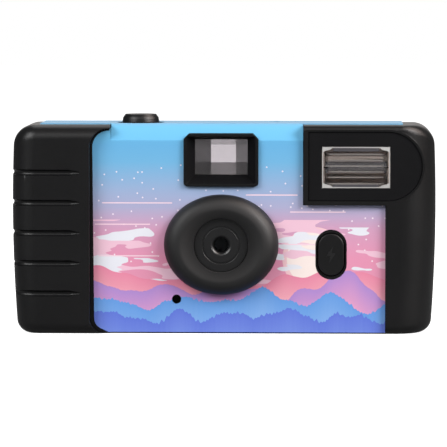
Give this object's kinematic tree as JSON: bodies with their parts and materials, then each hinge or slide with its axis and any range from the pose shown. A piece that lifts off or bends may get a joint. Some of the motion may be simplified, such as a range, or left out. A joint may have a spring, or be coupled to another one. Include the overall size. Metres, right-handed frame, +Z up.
{
  "type": "compact digital camera",
  "caption": "Flat digital camera with a printed wrap-round cover, black ribbed grip, domed oval lens surround, viewfinder and flash.",
  "frame": {"origin": "middle of the foot, on the surface that the camera stands on", "axes": "+Z up, -Y to the scene (the lens side), +X to the right seen from the front"},
  "size_m": [0.1152, 0.031, 0.0593],
  "materials": {
    "black_plastic": "satin",
    "print_film": "gloss",
    "clear_plastic": "gloss",
    "glass": "gloss",
    "steel": "satin",
    "mirror_metal": "gloss",
    "board": "satin",
    "chip": "matte",
    "cell_jacket": "gloss",
    "display": "satin",
    "grey_plastic": "satin"
  },
  "bodies": {
    "camera": {"front_shell": "black_plastic", "back_shell": "black_plastic", "printed_cover": "print_film", "case_screws": "steel", "lens_bezel": "black_plastic", "lens_disc": "black_plastic", "lens_window": "glass", "lens_barrel": "black_plastic", "front_lens_element": "glass", "rear_lens_element": "glass", "infrared_filter": "glass", "lens_holder": "black_plastic", "image_sensor": "chip", "main_board": "board", "image_processor": "chip", "memory_chip": "chip", "board_screws": "steel", "microphone": "mirror_metal", "buzzer": "chip", "display_holder": "grey_plastic", "counter_display": "display", "counter_window": "clear_plastic", "viewfinder_bezel": "black_plastic", "viewfinder_lens": "clear_plastic", "viewfinder_tunnel": "black_plastic", "eyepiece_lens": "clear_plastic", "eyepiece_frame": "black_plastic", "flash_panel": "black_plastic", "flash_window": "clear_plastic", "flash_reflector": "mirror_metal", "flash_tube": "glass", "flash_electrodes": "steel", "flash_board": "board", "flash_capacitor": "mirror_metal", "flash_transformer": "chip", "flash_switch": "chip", "shutter_collar": "black_plastic", "shutter_spring": "steel", "shutter_switch": "chip", "shutter_board": "board", "lamp_window": "clear_plastic", "indicator_light": "grey_plastic", "cell": "cell_jacket", "cell_cradle": "grey_plastic", "cell_contacts": "steel", "power_switch": "steel", "port_board": "board", "charging_port": "steel", "card_socket": "steel", "memory_card": "chip", "door_pin": "steel"},
    "shutter": {"shutter_button": "black_plastic", "shutter_plunger": "grey_plastic"},
    "flash_key": {"flash_button": "black_plastic", "flash_plunger": "grey_plastic"},
    "power_key": {"power_slider": "black_plastic", "power_lever": "grey_plastic"},
    "side_door": {"port_door": "black_plastic"}
  },
  "joints": [
    {"name": "shutter_press", "type": "slide", "parent": "camera", "child": "shutter", "axis": [0, 0, -1], "range_m": [0, 0.0009], "stiffness_N_per_m": 1200, "deforming": ["shutter_spring"]},
    {"name": "flash_key_press", "type": "slide", "parent": "camera", "child": "flash_key", "axis": [0, 1, 0], "range_m": [0, 0.0006], "stiffness_N_per_m": 1200},
    {"name": "power_slide", "type": "slide", "parent": "camera", "child": "power_key", "axis": [1, 0, 0], "range_m": [0, 0.003]},
    {"name": "door_hinge", "type": "hinge", "parent": "camera", "child": "side_door", "pos_m": [0.05603, 0.0019, 0.019], "axis": [0, 0, -1], "range_deg": [0, 90]}
  ]
}
